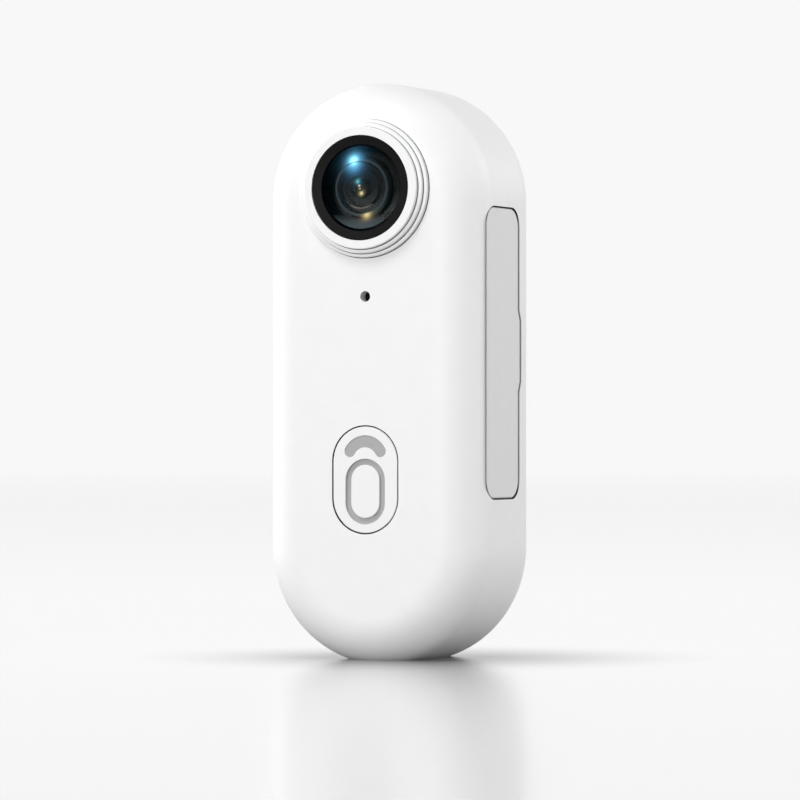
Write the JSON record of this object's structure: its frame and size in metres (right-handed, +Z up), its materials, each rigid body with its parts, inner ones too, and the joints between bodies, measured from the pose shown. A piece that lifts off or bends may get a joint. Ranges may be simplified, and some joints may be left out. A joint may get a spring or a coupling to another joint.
{
  "type": "mini camera",
  "caption": "Thumb-size capsule camera with a stepped wide lens, a press button on its front and a hinged side flap over its sockets.",
  "frame": {"origin": "middle of the flat foot that the camera stands on", "axes": "+Z up along the body, -Y the way the lens looks, +X the side with the flap"},
  "size_m": [0.0248, 0.0204, 0.061],
  "materials": {
    "white_shell": "satin, fine spark texture",
    "white_gloss": "semi-gloss",
    "door_grey": "matt soft-touch",
    "seal_grey": "matt",
    "black_anodised": "matt black",
    "black_plastic": "matt",
    "front_glass": "polished, blue coated",
    "inner_glass": "polished, coated",
    "light_guide": "smoked diffuser",
    "sensor_face": "glass over silicon",
    "circuit_board": "solder mask",
    "flex_film": "amber film",
    "socket_steel": "bright stamped",
    "socket_tongue": "glass-filled",
    "copper_sheet": "bare copper",
    "black_card": "fine matt",
    "chip_resin": "matt resin",
    "thermal_pad": "soft",
    "led_lens": "clear resin",
    "switch_button": "matt",
    "soft_rubber": "matt",
    "mic_mesh": "woven mesh",
    "foam_tape": "foam",
    "cell_foil": "laminate foil",
    "lead_jacket": "smooth",
    "frame_plastic": "glass-filled",
    "magnet_nickel": "nickel plate"
  },
  "bodies": {
    "casing": {"aperture_stop": "black_plastic", "battery": "cell_foil", "battery_connector": "black_plastic", "battery_foam": "foam_tape", "battery_leads": "lead_jacket", "board_header": "black_plastic", "board_screws": "socket_steel", "camera_flex": "flex_film", "card_slot": "socket_steel", "door_strap": "seal_grey", "front_board": "circuit_board", "front_shell": "white_shell", "heat_spreader": "copper_sheet", "image_sensor": "sensor_face", "ir_filter": "inner_glass", "lens_barrel": "black_anodised", "lens_bezel": "white_gloss", "lens_element_1": "front_glass", "lens_element_2": "inner_glass", "lens_element_3": "inner_glass", "lens_element_4": "inner_glass", "lens_element_5": "inner_glass", "lens_mount": "black_plastic", "lens_retaining_ring": "black_anodised", "lens_seal": "soft_rubber", "lens_spacer_back": "black_plastic", "lens_spacer_front": "black_plastic", "lens_spacer_rear": "black_plastic", "main_board": "circuit_board", "memory_chips": "chip_resin", "mic_gasket": "soft_rubber", "mic_mesh": "mic_mesh", "microphone": "socket_steel", "mid_frame": "frame_plastic", "processor": "chip_resin", "rear_magnets": "magnet_nickel", "rear_shell": "white_shell", "reset_switch": "black_plastic", "sensor_board": "circuit_board", "shield_can": "socket_steel", "socket_panel": "black_plastic", "status_leds": "led_lens", "tact_switch": "black_plastic", "thermal_pad": "thermal_pad", "usb_port": "socket_steel", "usb_tongue": "socket_tongue", "wifi_antenna": "flex_film"},
    "door": {"side_door": "door_grey", "door_seal": "seal_grey"},
    "button": {"button_cap": "white_gloss", "button_centre": "white_gloss", "button_light_guide": "light_guide", "button_pad": "seal_grey", "tact_plunger": "switch_button"},
    "card": {"memory_card": "black_card"},
    "reset_key": {"reset_plunger": "switch_button"}
  },
  "joints": [
    {"name": "door_hinge", "type": "hinge", "parent": "casing", "child": "door", "pos_m": [0.01212, -0.00542, 0.03241], "axis": [0, 0, -1], "range_deg": [0, 100]},
    {"name": "button_press", "type": "slide", "parent": "casing", "child": "button", "axis": [0, 1, 0], "range_m": [0, 0.0003], "stiffness_N_per_m": 400},
    {"name": "card_push", "type": "slide", "parent": "casing", "child": "card", "axis": [-1, 0, 0], "range_m": [0, 0.0005], "stiffness_N_per_m": 400},
    {"name": "reset_press", "type": "slide", "parent": "casing", "child": "reset_key", "axis": [-1, 0, 0], "range_m": [0, 0.0002], "stiffness_N_per_m": 400}
  ]
}
